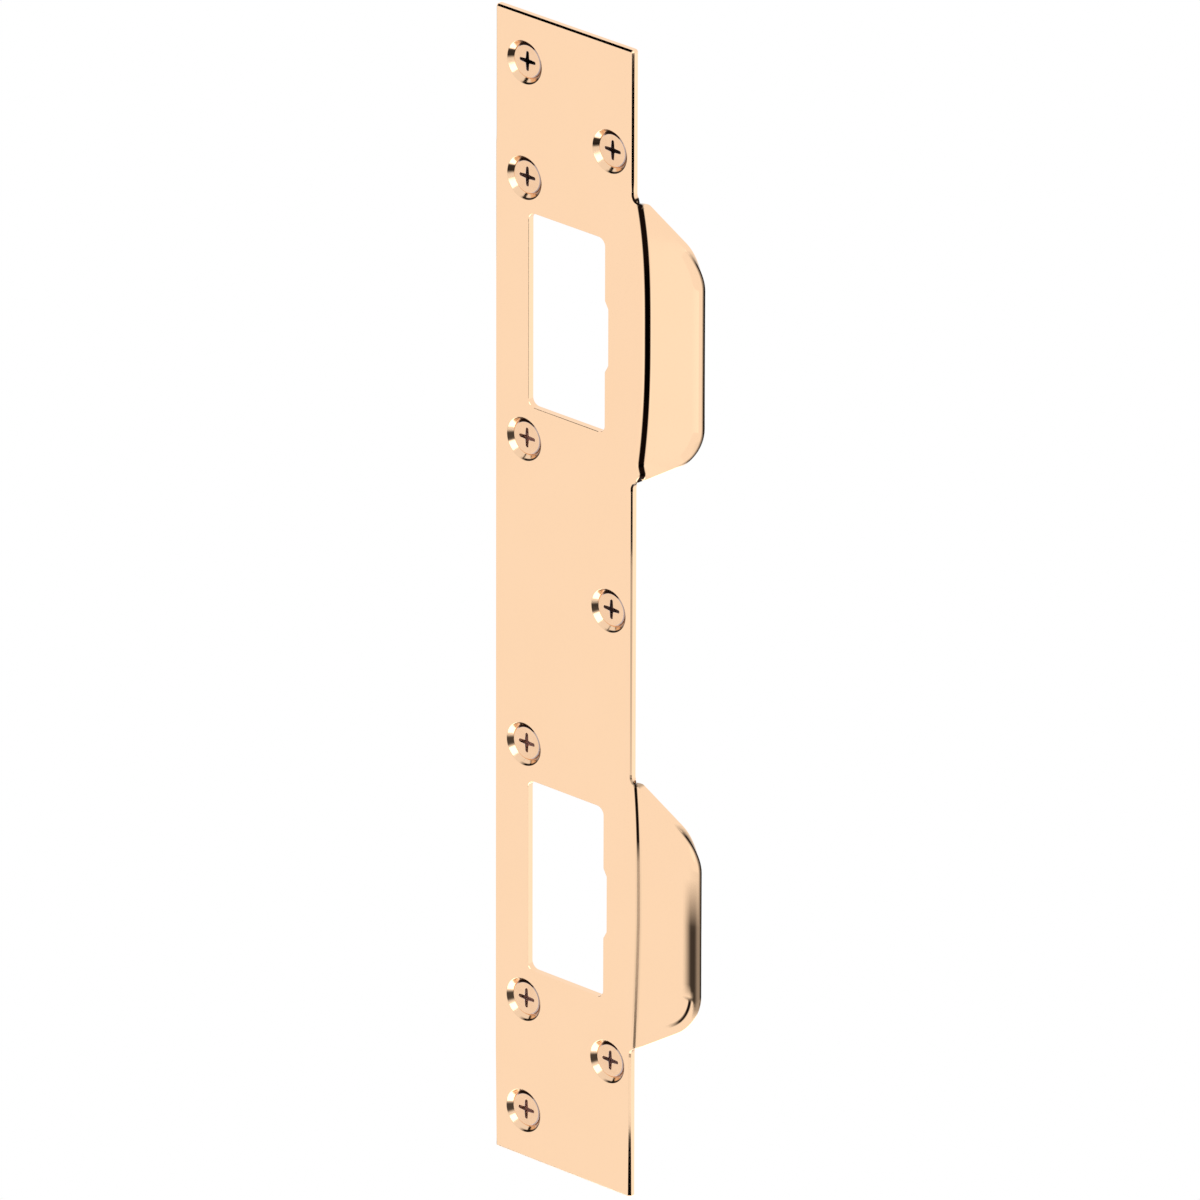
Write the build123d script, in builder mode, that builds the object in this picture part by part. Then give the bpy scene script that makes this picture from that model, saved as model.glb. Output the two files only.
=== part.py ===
"""Combination door strike plate: one stamped brass plate and the nine short screws that hold it.

Frame, in millimetres: the back of the plate lies on Y = 0 and its show face on Y = -thickness.
X runs across the plate, towards the lips, and Z runs up its length. The origin is midway between
the long edges and midway between the ends.
"""

import os
from math import cos, radians, sin, tan

from build123d import *

# Plate
height = 282.6
width = 41.3
thickness = 1.6
corner_r = 0.6
edge_break = 0.4

# What the holes are set out from: the centre lines of the two screw columns and of the openings
pattern_x = 0.92
column_gap = 25.6
opening_z = 69.85

# Bolt openings, one for the latch and one for the deadbolt
opening_width = 22.9
opening_height = 47.4
opening_corner_r = 1.9
opening_edge_break = 0.12
relief_length = 17.4
relief_depth = 1.0
relief_slope = 1.8

# Screw positions along the plate
end_screw_z = 129.5
outer_screw_z = 101.5
inner_screw_z = 37.7
right_middle_z = 3.1
right_pitch = 112.1

# Countersunk seats, pressed through to the back
cone_angle = 82
rim_d = 10.3
seat_hole_d = 4.4
seat_wall = 1.1
rim_break = 0.15

# Screws: number 8, flat head, cross recess
head_d = 8.1
head_edge = 0.27
neck_d = 3.1
thread_d = 4.17
screw_length = 8.0
tip_length = 2.9
seat_clearance = 0.02
recess_d = 4.7
recess_wing = 0.95
recess_depth = 2.1
recess_bottom_d = 2.0
recess_bottom_wing = 0.5

# Lips, one beside each opening
lip_z = 70.7
upper_root_half = 35.0
lower_root_half = 33.7
lip_reach = 18.6
lip_taper = 32
lip_corner_r = 12.0
lip_root_r = 1.5

# Section of a lip, from the plate's edge outwards
crease_out = 3.1
crease_r = 0.8
upper_crease_wall = 1.0
lower_crease_wall = 0.45
crease_inner_r = 0.8
crease_angle = 50
lip_angle = 4
curl_r = 3.6
curl_angle = 55
crease_fullness = 6
lip_stations = 15

half_cone = radians(cone_angle / 2)
face_y = -thickness
edge_x = width / 2
left_x = pattern_x - column_gap / 2
right_x = pattern_x + column_gap / 2

left_screws = [(left_x, sign * z)
               for z in (end_screw_z, outer_screw_z, inner_screw_z) for sign in (1, -1)]
right_screws = [(right_x, right_middle_z + step * right_pitch) for step in (1, 0, -1)]
screw_points = left_screws + right_screws

lip_inside = 2 * thickness

# Depths, measured back from the show face
seat_depth = (rim_d - seat_hole_d) / 2 / tan(half_cone)
head_depth = (rim_d - head_d) / 2 / tan(half_cone)

# Planes that look at the show face and at the back, with their Y along the plate
show = Plane(origin=(0, face_y, 0), x_dir=(1, 0, 0), z_dir=(0, -1, 0))
back = Plane(origin=(0, 0, 0), x_dir=(-1, 0, 0), z_dir=(0, 1, 0))


def at_depth(depth):
    """The plane that looks at the show face from the given depth below it."""
    return show.offset(-depth)


def lip_section(z, lip_end, crease_wall):
    """Cross-section of a lip at a height from its middle, bent from sheet of the plate's thickness.

    The crease bows away from the plate's edge between the two ends of the root, at lip_end.
    """
    start = edge_x + crease_out * (1 - abs(z / lip_end) ** crease_fullness)
    plane = Plane(origin=(0, 0, z))
    # the straight run takes up what the bow leaves, so that the tip stays at lip_reach
    bends = (crease_r * sin(radians(crease_angle))
             + crease_wall * cos(radians(crease_angle))
             + crease_inner_r * (sin(radians(crease_angle)) - sin(radians(lip_angle)))
             + curl_r * (sin(radians(curl_angle)) - sin(radians(lip_angle))))
    straight = (edge_x + lip_reach - start - bends) / cos(radians(lip_angle))
    with BuildSketch(plane) as section:
        with BuildLine():
            flat = Line((edge_x - lip_inside, face_y), (start, face_y))
            out = JernArc(flat @ 1, flat % 1, crease_r, crease_angle)
            wall = Line(out @ 1, out @ 1 + crease_wall * (out % 1))
            back_in = JernArc(wall @ 1, wall % 1, crease_inner_r, lip_angle - crease_angle)
            run = Line(back_in @ 1, back_in @ 1 + straight * (back_in % 1))
            JernArc(run @ 1, run % 1, curl_r, curl_angle - lip_angle)
            offset(amount=thickness, side=Side.LEFT)
        make_face()
    return section.sketch


def lip_outline(root_half):
    """Outline of a lip about its own middle, seen from the front, for half its root's length."""
    lip_end = root_half + lip_root_r
    tip_half = root_half - lip_reach * tan(radians(lip_taper))
    with BuildSketch() as outline:
        with BuildLine():
            Polyline(
                (edge_x - lip_inside, -lip_end),
                (edge_x, -lip_end),
                (edge_x, -root_half),
                (edge_x + lip_reach, -tip_half),
                (edge_x + lip_reach, tip_half),
                (edge_x, root_half),
                (edge_x, lip_end),
                (edge_x - lip_inside, lip_end),
                close=True,
            )
        make_face()
        fillet(outline.vertices().group_by(Axis.X)[-1], lip_corner_r)
        root = outline.vertices().group_by(Axis.X)[1].sort_by(Axis.Y)[1:-1]
        fillet(root, lip_root_r)
    return outline.sketch


def bent_lip(root_half, crease_wall):
    """A lip about its own middle: bent sheet, trimmed to the outline."""
    lip_end = root_half + lip_root_r
    steps = lip_stations - 1
    with BuildPart() as lip:
        loft(sections=[lip_section(lip_end * (2 * i / steps - 1), lip_end, crease_wall)
                       for i in range(lip_stations)])
        with BuildSketch(show.offset(thickness)):
            add(lip_outline(root_half))
        extrude(amount=-lip_reach, mode=Mode.INTERSECT)
    return lip.part


# What the punch takes out for one seat: half section turned about Y, with the rim's edge broken
with BuildPart() as seat_cut:
    with BuildSketch(Plane.XY):
        with BuildLine():
            Polyline(
                (0, face_y),
                (rim_d / 2 + rim_break, face_y),
                (rim_d / 2 - rim_break * tan(half_cone), face_y + rim_break),
                (seat_hole_d / 2, face_y + seat_depth),
                (0, face_y + seat_depth),
                close=True,
            )
        make_face()
    revolve(axis=Axis.Y)


with BuildPart() as strike_plate:
    # blank, its show edge broken by the buff
    with BuildSketch(show):
        RectangleRounded(width, height, corner_r)
    extrude(amount=-thickness)
    chamfer(strike_plate.faces().sort_by(Axis.Y)[0].edges(), edge_break)

    with Locations((0, 0, lip_z)):
        add(bent_lip(upper_root_half, upper_crease_wall))
    with Locations((0, 0, -lip_z)):
        add(bent_lip(lower_root_half, lower_crease_wall))

    # seats, pressed out of the back
    wall_out = seat_wall / cos(half_cone)
    back_r = rim_d / 2 - thickness * tan(half_cone) + wall_out
    with BuildSketch(back):
        with Locations(*[(-x, z) for x, z in screw_points]):
            Circle(back_r)
    extrude(amount=seat_depth - thickness, taper=cone_angle / 2)

    with Locations(*[(x, 0, z) for x, z in screw_points]):
        add(seat_cut.part, mode=Mode.SUBTRACT)

    # bolt openings, each with a shallow relief in the side next to the lip
    with BuildSketch(show):
        with Locations((pattern_x, opening_z), (pattern_x, -opening_z)):
            RectangleRounded(opening_width, opening_height, opening_corner_r)
        with Locations((pattern_x + opening_width / 2, opening_z),
                       (pattern_x + opening_width / 2, -opening_z)):
            Polygon(
                (-relief_depth, -relief_length / 2),
                (0, -relief_length / 2),
                (relief_depth, -relief_length / 2 + relief_slope),
                (relief_depth, relief_length / 2 - relief_slope),
                (0, relief_length / 2),
                (-relief_depth, relief_length / 2),
                align=None,
            )
    extrude(amount=-thickness, mode=Mode.SUBTRACT)
    show_face = strike_plate.faces().filter_by(Axis.Y).sort_by(Axis.Y)[0]
    mouths = show_face.inner_wires().sort_by(SortBy.LENGTH)[-2:]
    chamfer([edge for mouth in mouths for edge in mouth.edges()], opening_edge_break)

strike_plate.part.label = "strike_plate"


# Cross recess, narrowing to its bottom
with BuildPart() as recess:
    with BuildSketch(at_depth(head_depth - head_edge)):
        Rectangle(recess_d, recess_wing)
        Rectangle(recess_wing, recess_d)
    with BuildSketch(at_depth(head_depth - head_edge + recess_depth)):
        Rectangle(recess_bottom_d, recess_bottom_wing)
        Rectangle(recess_bottom_wing, recess_bottom_d)
    loft(ruled=True)

with BuildPart() as screw:
    # half section, radius along X and depth along Y, turned about Y
    top_y = face_y + head_depth - head_edge
    head_r = head_d / 2 - seat_clearance / cos(half_cone)
    neck_y = top_y + head_edge + (head_r - neck_d / 2) / tan(half_cone)
    tip_y = top_y + screw_length
    with BuildSketch(Plane.XY):
        with BuildLine():
            Polyline(
                (0, top_y),
                (head_r, top_y),
                (head_r, top_y + head_edge),
                (neck_d / 2, neck_y),
                (thread_d / 2, neck_y),
                (thread_d / 2, tip_y - tip_length),
                (0, tip_y),
                close=True,
            )
        make_face()
    revolve(axis=Axis.Y)
    add(recess.part, mode=Mode.SUBTRACT)

with BuildPart() as mounting_screws:
    with Locations(*[(x, 0, z) for x, z in screw_points]):
        add(screw.part)

mounting_screws.part.label = "mounting_screws"

os.makedirs("parts", exist_ok=True)
export_step(strike_plate.part, "parts/strike_plate.step")
export_step(mounting_screws.part, "parts/mounting_screws.step")
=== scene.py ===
"""Looks of a combination door strike plate in polished brass, with its nine flat-head screws.

The plate and the screws are built again as smooth meshes with exact surface normals, because
polished metal shows every facet. They stand where the CAD nodes are, in metres.
"""

import logging
import math
from dataclasses import dataclass, field
from enum import Enum
from itertools import groupby
from typing import Callable, Sequence

import bpy
from mathutils import Euler, Matrix, Vector
from mathutils.geometry import delaunay_2d_cdt


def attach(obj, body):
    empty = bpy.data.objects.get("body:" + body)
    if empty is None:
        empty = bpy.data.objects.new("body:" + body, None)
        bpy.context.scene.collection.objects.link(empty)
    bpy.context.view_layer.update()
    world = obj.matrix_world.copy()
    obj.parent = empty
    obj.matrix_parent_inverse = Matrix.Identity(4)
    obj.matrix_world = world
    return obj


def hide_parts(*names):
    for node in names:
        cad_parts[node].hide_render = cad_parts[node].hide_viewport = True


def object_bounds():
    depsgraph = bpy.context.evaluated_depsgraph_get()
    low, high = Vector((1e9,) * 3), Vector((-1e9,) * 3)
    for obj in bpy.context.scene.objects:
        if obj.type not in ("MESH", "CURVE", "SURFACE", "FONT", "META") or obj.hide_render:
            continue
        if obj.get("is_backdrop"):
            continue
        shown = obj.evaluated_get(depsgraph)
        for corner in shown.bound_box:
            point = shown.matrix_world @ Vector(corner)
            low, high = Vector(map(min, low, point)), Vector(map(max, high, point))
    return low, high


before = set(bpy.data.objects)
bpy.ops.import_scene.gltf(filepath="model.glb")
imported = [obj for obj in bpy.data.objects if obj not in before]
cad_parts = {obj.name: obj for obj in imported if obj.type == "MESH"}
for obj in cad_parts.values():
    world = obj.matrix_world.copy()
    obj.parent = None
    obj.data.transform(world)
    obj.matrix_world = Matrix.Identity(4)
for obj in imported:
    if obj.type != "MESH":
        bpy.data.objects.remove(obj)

log = logging.getLogger("door_strike_plate")

MM = 0.001
TINY = 1e-9
Point2 = tuple[float, float]
Pair = tuple[float, float]
# a span of angles in degrees: its middle, half of it, and how far beyond it a level falls
Span = tuple[float, float, float]
Colour = tuple[float, float, float, float]
# a point of a section that is turned about Y: radius, depth, and the two parts of its normal
SectionPoint = tuple[float, float, float, float]
# the way that the show face looks
FRONT = Vector((0.0, -1.0, 0.0))


class Outline(Enum):
    """Which way the wall along an anticlockwise outline looks: 1 is outwards."""

    RIM = 1.0
    MOUTH = -1.0


def linear(hex_colour: str) -> Colour:
    """Turns an sRGB hex colour into linear RGBA.

    Args:
        hex_colour: six hex digits after a hash.

    Returns:
        The linear colour with an alpha of 1.
    """
    parts = [int(hex_colour[i:i + 2], 16) / 255 for i in (1, 3, 5)]
    rgb = [c / 12.92 if c <= 0.04045 else ((c + 0.055) / 1.055) ** 2.4 for c in parts]
    return (rgb[0], rgb[1], rgb[2], 1.0)


def add_node(tree: bpy.types.NodeTree, kind: str, settings: dict | None = None,
             **inputs: object) -> bpy.types.Node:
    """Adds a node with its settings, values and links.

    Args:
        tree: the node tree that gets the node.
        kind: the node's type name.
        settings: properties of the node by name.
        inputs: by socket name with _ for a space, or by i and the socket's number, a value or
            another node's output socket.

    Returns:
        The new node.
    """
    node = tree.nodes.new(kind)
    for name, value in (settings or {}).items():
        setattr(node, name, value)
    for name, value in inputs.items():
        key = int(name[1:]) if name[0] == "i" and name[1:].isdigit() else name.replace("_", " ")
        if isinstance(value, bpy.types.NodeSocket):
            tree.links.new(value, node.inputs[key])
        else:
            node.inputs[key].default_value = value
    return node


def new_material(name: str) -> bpy.types.Material:
    """Makes a material whose node tree is still empty.

    Args:
        name: the material's name.

    Returns:
        The material.
    """
    material = bpy.data.materials.new(name)
    material.use_nodes = True
    material.node_tree.nodes.clear()
    return material


def put_in_scene(name: str, data: bpy.types.ID) -> bpy.types.Object:
    """Makes an object of a mesh, a lamp or a camera and puts it in the scene.

    Args:
        name: the object's name.
        data: what it is made of.

    Returns:
        The object.
    """
    thing = bpy.data.objects.new(name, data)
    bpy.context.scene.collection.objects.link(thing)
    return thing


def direction(azimuth: float, elevation: float) -> Vector:
    """The unit vector towards an azimuth, from the front to the right, and an elevation."""
    a, e = math.radians(azimuth), math.radians(elevation)
    return Vector((math.sin(a) * math.cos(e), -math.cos(a) * math.cos(e), math.sin(e)))


def circle(steps: int) -> list[tuple[float, float, float]]:
    """Evenly spaced angles of a circle in radians, each with its cosine and sine."""
    angles = [2 * math.pi * i / steps for i in range(steps)]
    return [(a, math.cos(a), math.sin(a)) for a in angles]


def clamped(value: float) -> float:
    """Limits a value to the range from 0 to 1."""
    return max(0.0, min(1.0, value))


def rising(value: float, start: float, length: float) -> float:
    """A level that is 0 up to a start and rises to 1 over a length."""
    return clamped((value - start) / length)


def falling(value: float, end: float, length: float) -> float:
    """A level that falls from 1 to 0 over a length and has reached 0 at an end."""
    return clamped((end - value) / length)


def window(angle: float, middle: float, half: float, soft: float) -> float:
    """A level that is 1 within a span of angles and falls to 0 beyond it.

    Args:
        angle: the angle in radians.
        middle: the span's middle in degrees.
        half: half of the span in degrees.
        soft: how far beyond the span the level falls, in degrees.

    Returns:
        The level.
    """
    off = abs((math.degrees(angle) - middle + 180) % 360 - 180)
    return falling(off, half + soft, soft)


def rounded(corners: Sequence[Point2], radii: Sequence[float], step: float) -> list[Point2]:
    """Closed outline with each corner rounded.

    Args:
        corners: the sharp corners in order.
        radii: one radius a corner.
        step: the turn between two points of an arc, in degrees, for arcs of more than two steps.

    Returns:
        The outline's points, without the first one again.
    """
    points: list[Point2] = []
    for i, (corner, radius) in enumerate(zip(corners, radii)):
        here = Vector(corner)
        back = (Vector(corners[i - 1]) - here).normalized()
        ahead = (Vector(corners[(i + 1) % len(corners)]) - here).normalized()
        half = back.angle(ahead) / 2
        reach = radius / math.tan(half)
        centre = here + (back + ahead).normalized() * (radius / math.sin(half))
        first, last = here + back * reach, here + ahead * reach
        a0 = math.atan2(first.y - centre.y, first.x - centre.x)
        a1 = math.atan2(last.y - centre.y, last.x - centre.x)
        turn = (a1 - a0 + math.pi) % (2 * math.pi) - math.pi
        steps = max(2, round(abs(math.degrees(turn)) / step))
        points += [(centre.x + radius * math.cos(a0 + turn * k / steps),
                    centre.y + radius * math.sin(a0 + turn * k / steps))
                   for k in range(steps + 1)]
    return points


def divided(points: Sequence[Point2], longest: Callable[[Point2], float]) -> list[Point2]:
    """Divides the long runs of a closed outline.

    Args:
        points: the outline.
        longest: gives the length that a run may have, from the point where it starts.

    Returns:
        The outline with the points between.
    """
    made: list[Point2] = []
    for a, b in zip(points, [*points[1:], points[0]]):
        cuts = max(1, math.ceil(math.dist(a, b) / longest(a)))
        made += [(a[0] + (b[0] - a[0]) * k / cuts, a[1] + (b[1] - a[1]) * k / cuts)
                 for k in range(cuts)]
    return made


def inside(point: Point2, outline: Sequence[Point2]) -> bool:
    """Tells whether a point lies inside a closed outline.

    Args:
        point: the point.
        outline: the outline.

    Returns:
        True where it does.
    """
    x, y = point
    hit = False
    for (x0, y0), (x1, y1) in zip(outline, [*outline[1:], outline[0]]):
        if (y0 > y) != (y1 > y) and x < x0 + (y - y0) * (x1 - x0) / (y1 - y0):
            hit = not hit
    return hit


def clear_of(point: Point2, outline: Sequence[Point2], gap: float) -> bool:
    """Tells whether a point keeps a gap to every run of a closed outline.

    Args:
        point: the point.
        outline: the outline.
        gap: the least distance.

    Returns:
        True where it does.
    """
    p = Vector(point)
    for a, b in zip(outline, [*outline[1:], outline[0]]):
        if min(a[0], b[0]) - gap > p.x or max(a[0], b[0]) + gap < p.x:
            continue
        if min(a[1], b[1]) - gap > p.y or max(a[1], b[1]) + gap < p.y:
            continue
        start, run = Vector(a), Vector(b) - Vector(a)
        share = clamped((p - start).dot(run) / max(run.length_squared, TINY))
        if (p - start - run * share).length < gap:
            return False
    return True


def fill(outlines: Sequence[Sequence[Point2]],
         runs: Sequence[Sequence[Point2]]) -> tuple[list[Point2], list[list[int]]]:
    """Triangulates the region inside the first outline and outside the others.

    Args:
        outlines: closed outlines, the outer one first.
        runs: open lines inside that the triangles must follow.

    Returns:
        The points, with those where two lines cross, and the triangles.
    """
    points: list[Point2] = []
    edges: list[tuple[int, int]] = []
    for outline in outlines:
        first, count = len(points), len(outline)
        edges += [(first + i, first + (i + 1) % count) for i in range(count)]
        points += outline
    for run in runs:
        first = len(points)
        edges += [(first + i, first + i + 1) for i in range(len(run) - 1)]
        points += run
    made, _, faces, _, _, _ = delaunay_2d_cdt(
        [Vector(p) for p in points], edges, [], 0, 1e-6, False)
    outer, *holes = outlines
    kept = []
    for triangle in faces:
        mid = sum((Vector(made[i]) for i in triangle), Vector((0, 0))) / 3
        if inside(tuple(mid), outer) and not any(inside(tuple(mid), hole) for hole in holes):
            kept.append(list(triangle))
    return [(p.x, p.y) for p in made], kept


@dataclass
class Shell:
    """A mesh under construction whose vertices carry their own normals. Sizes are in mm.

    A vertex's painted darkness, from 0 to 1, says how far painted shade and painted dark
    reflections darken its colour there.
    """

    points: list[Vector] = field(default_factory=list)
    normals: list[Vector] = field(default_factory=list)
    painted_darkness_levels: list[float] = field(default_factory=list)
    faces: list[tuple[int, ...]] = field(default_factory=list)

    def add(self, point: Vector, normal: Vector, painted_darkness: float = 0.0) -> int:
        """Adds a vertex.

        Args:
            point: its place.
            normal: which way the surface looks there.
            painted_darkness: how far painted shade and painted dark reflections darken its colour.

        Returns:
            Its number.
        """
        self.points.append(point)
        self.normals.append(normal.normalized())
        self.painted_darkness_levels.append(painted_darkness)
        return len(self.points) - 1

    def face(self, corners: Sequence[int]) -> None:
        """Adds a face, turned so that it looks the way its corners' normals do.

        Args:
            corners: the vertices' numbers, three or four.
        """
        a, b, c = (self.points[i] for i in corners[:3])
        looks = (b - a).cross(c - a)
        if looks.length < TINY and len(corners) > 3:
            looks = (c - a).cross(self.points[corners[3]] - a)
        mean = sum((self.normals[i] for i in corners), Vector())
        self.faces.append(tuple(corners) if looks.dot(mean) >= 0 else tuple(reversed(corners)))

    def skin(self, rows: Sequence[Sequence[int]]) -> None:
        """Fills the strips between closed rows of vertices.

        Args:
            rows: the vertices' numbers, as many in each row.
        """
        for one, other in zip(rows, rows[1:]):
            for i in range(len(one)):
                j = (i + 1) % len(one)
                self.face([one[i], one[j], other[j], other[i]])

    def turned(self, section: Sequence[SectionPoint], centre: tuple[float, float, float],
               steps: int, painted_darkness: Callable[[int, float], float]) -> None:
        """Turns a section about an axis along Y.

        Args:
            section: its points in order, depths growing with Y.
            centre: a point of the axis, at which the depth is 0.
            steps: how many vertices go round.
            painted_darkness: gives the level of painted shade and painted dark reflections, from
                the point's number in the section and its angle.
        """
        x, y, z = centre
        self.skin([[self.add(Vector((x + radius * c, y + depth, z + radius * s)),
                             Vector((outward * c, down, outward * s)), painted_darkness(number, a))
                    for a, c, s in circle(steps)]
                   for number, (radius, depth, outward, down) in enumerate(section)])

    def cover(self, outlines: Sequence[Sequence[Point2]], runs: Sequence[Sequence[Point2]],
              vertex: Callable[[Point2], tuple[Vector, Vector, float]]) -> None:
        """Covers the region inside the first outline and outside the others.

        Args:
            outlines: closed outlines, the outer one first.
            runs: open lines inside that the triangles must follow.
            vertex: gives a point's place, normal and level of painted shade and painted dark
                reflections.
        """
        points, triangles = fill(outlines, runs)
        numbers = [self.add(*vertex(point)) for point in points]
        for triangle in triangles:
            self.face([numbers[i] for i in triangle])

    def build(self, name: str, material: bpy.types.Material) -> bpy.types.Object:
        """Makes the Blender object.

        Args:
            name: the piece's name.
            material: its finish.

        Returns:
            The object, smooth shaded, with the shell's own normals.
        """
        mesh = bpy.data.meshes.new(name)
        mesh.from_pydata([p * MM for p in self.points], [], self.faces)
        mesh.polygons.foreach_set("use_smooth", [True] * len(mesh.polygons))
        mesh.materials.append(material)
        # the level of painted shade and painted dark reflections, which the materials read
        painted_darkness = mesh.attributes.new("painted_darkness", "FLOAT", "POINT")
        painted_darkness.data.foreach_set("value", self.painted_darkness_levels)
        mesh.normals_split_custom_set_from_vertices([tuple(n) for n in self.normals])
        mesh.update()
        return put_in_scene(name, mesh)


@dataclass(frozen=True)
class PolishedBrass:
    """Sheet brass, blanked, buffed to a mirror and clear lacquered.

    It gives the eye a warm pale face that mirrors its surroundings, with edges drawn as thin dark
    lines, partly mirrored dark cards and partly dark reflections painted into its colour, and only
    at a second look the faint straight lines that the buff left.
    """

    name: str = "polished_brass_buffed"
    body: str = "#FFD9B4"
    deep: str = "#FDD6B0"
    # painted reflection: near black, painted into the colour where dark reflections fall in bends,
    # curls, edges and seats
    painted_reflection: str = "#160C08"
    roughness: float = 0.045
    roughness_span: Pair = (0.7, 1.5)
    painted_reflection_roughness: float = 0.13
    painted_reflection_full: float = 0.1
    cloud_size_mm: float = 22.0
    buff_width_mm: float = 0.5
    buff_length_mm: float = 40.0
    buff_depth_mm: float = 0.0006
    buff_span: Pair = (0.3, 0.7)
    buff_strength: float = 0.08

    def build(self) -> bpy.types.Material:
        """Makes the material.

        Returns:
            The material.
        """
        material = new_material(self.name)
        tree = material.node_tree
        place = add_node(tree, "ShaderNodeTexCoord").outputs["Object"]
        # lacquer a touch deeper in broad clouds
        cloud = add_node(tree, "ShaderNodeTexNoise", Vector=place,
                         Scale=1 / (self.cloud_size_mm * MM), Detail=2.0, Roughness=0.5)
        colour = add_node(tree, "ShaderNodeMix", {"data_type": "RGBA"},
                          Factor=cloud.outputs["Fac"], i6=linear(self.body), i7=linear(self.deep))
        # painted reflection: dark reflections in the bends, the curls, at the edges and in the
        # seats are painted into the colour, and the finish is rougher there
        painted_darkness = add_node(tree, "ShaderNodeAttribute", {"attribute_name": "painted_darkness"}).outputs["Fac"]
        colour = add_node(tree, "ShaderNodeMix", {"data_type": "RGBA"}, Factor=painted_darkness,
                          i6=colour.outputs[2], i7=linear(self.painted_reflection))
        # buffing lines run along the plate, drawn wider than real ones so that they show
        across, along = 1 / (self.buff_width_mm * MM), 1 / (self.buff_length_mm * MM)
        lines = add_node(tree, "ShaderNodeMapping", Vector=place, Scale=(across, across, along))
        grain = add_node(tree, "ShaderNodeTexNoise", Vector=lines.outputs["Vector"], Scale=1.0,
                         Detail=3.0, Roughness=0.55)
        gloss = add_node(tree, "ShaderNodeMapRange", Value=grain.outputs["Fac"],
                         From_Min=self.buff_span[0], From_Max=self.buff_span[1],
                         To_Min=self.roughness * self.roughness_span[0],
                         To_Max=self.roughness * self.roughness_span[1])
        gloss = add_node(tree, "ShaderNodeMapRange", Value=painted_darkness, From_Max=self.painted_reflection_full,
                         To_Min=gloss.outputs["Result"], To_Max=self.painted_reflection_roughness)
        relief = add_node(tree, "ShaderNodeBump", Height=grain.outputs["Fac"],
                          Strength=self.buff_strength, Distance=self.buff_depth_mm * MM)
        shader = add_node(tree, "ShaderNodeBsdfPrincipled", Metallic=1.0,
                          Base_Color=colour.outputs[2], Roughness=gloss.outputs["Result"],
                          Normal=relief.outputs["Normal"])
        add_node(tree, "ShaderNodeOutputMaterial", Surface=shader.outputs["BSDF"])
        return material


@dataclass(frozen=True)
class PlatedScrew:
    """Cold-headed steel, bright brass plated.

    It gives the eye the plate's colour a shade deeper, with a soft grain from the heading die.
    """

    name: str = "brass_plated_steel_headed"
    body: str = "#FBD4B0"
    deep: str = "#F0C6A0"
    # painted shade: a grey, then a near black, for the recess and the head's edge
    half_shade: str = "#D8C6C2"
    dark: str = "#22130F"
    roughness: float = 0.14
    roughness_span: Pair = (0.7, 1.5)
    shaded_roughness: float = 0.3
    half_shade_level: float = 0.5
    patch_mm: float = 3.0
    grain_mm: float = 0.25
    grain_depth_mm: float = 0.004
    grain_strength: float = 0.15

    def build(self) -> bpy.types.Material:
        """Makes the material.

        Returns:
            The material.
        """
        material = new_material(self.name)
        tree = material.node_tree
        place = add_node(tree, "ShaderNodeTexCoord").outputs["Object"]
        grain = add_node(tree, "ShaderNodeTexNoise", Vector=place,
                         Scale=1 / (self.grain_mm * MM), Detail=3.0, Roughness=0.6)
        patches = add_node(tree, "ShaderNodeTexNoise", Vector=place,
                           Scale=1 / (self.patch_mm * MM))
        colour = add_node(tree, "ShaderNodeMix", {"data_type": "RGBA"},
                          Factor=patches.outputs["Fac"], i6=linear(self.body),
                          i7=linear(self.deep))
        # painted shade: the recess and the head's edge are painted a grey and, at higher levels,
        # near black
        painted_darkness = add_node(tree, "ShaderNodeAttribute", {"attribute_name": "painted_darkness"}).outputs["Fac"]
        half_shaded = add_node(tree, "ShaderNodeMapRange", Value=painted_darkness, From_Max=self.half_shade_level)
        colour = add_node(tree, "ShaderNodeMix", {"data_type": "RGBA"},
                          Factor=half_shaded.outputs["Result"], i6=colour.outputs[2],
                          i7=linear(self.half_shade))
        darkened = add_node(tree, "ShaderNodeMapRange", Value=painted_darkness, From_Min=self.half_shade_level)
        colour = add_node(tree, "ShaderNodeMix", {"data_type": "RGBA"},
                          Factor=darkened.outputs["Result"], i6=colour.outputs[2],
                          i7=linear(self.dark))
        gloss = add_node(tree, "ShaderNodeMapRange", Value=grain.outputs["Fac"],
                         To_Min=self.roughness * self.roughness_span[0],
                         To_Max=self.roughness * self.roughness_span[1])
        gloss = add_node(tree, "ShaderNodeMapRange", Value=half_shaded.outputs["Result"],
                         To_Min=gloss.outputs["Result"], To_Max=self.shaded_roughness)
        relief = add_node(tree, "ShaderNodeBump", Height=grain.outputs["Fac"],
                          Strength=self.grain_strength, Distance=self.grain_depth_mm * MM)
        shader = add_node(tree, "ShaderNodeBsdfPrincipled", Metallic=1.0,
                          Base_Color=colour.outputs[2], Roughness=gloss.outputs["Result"],
                          Normal=relief.outputs["Normal"])
        add_node(tree, "ShaderNodeOutputMaterial", Surface=shader.outputs["BSDF"])
        return material


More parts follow.
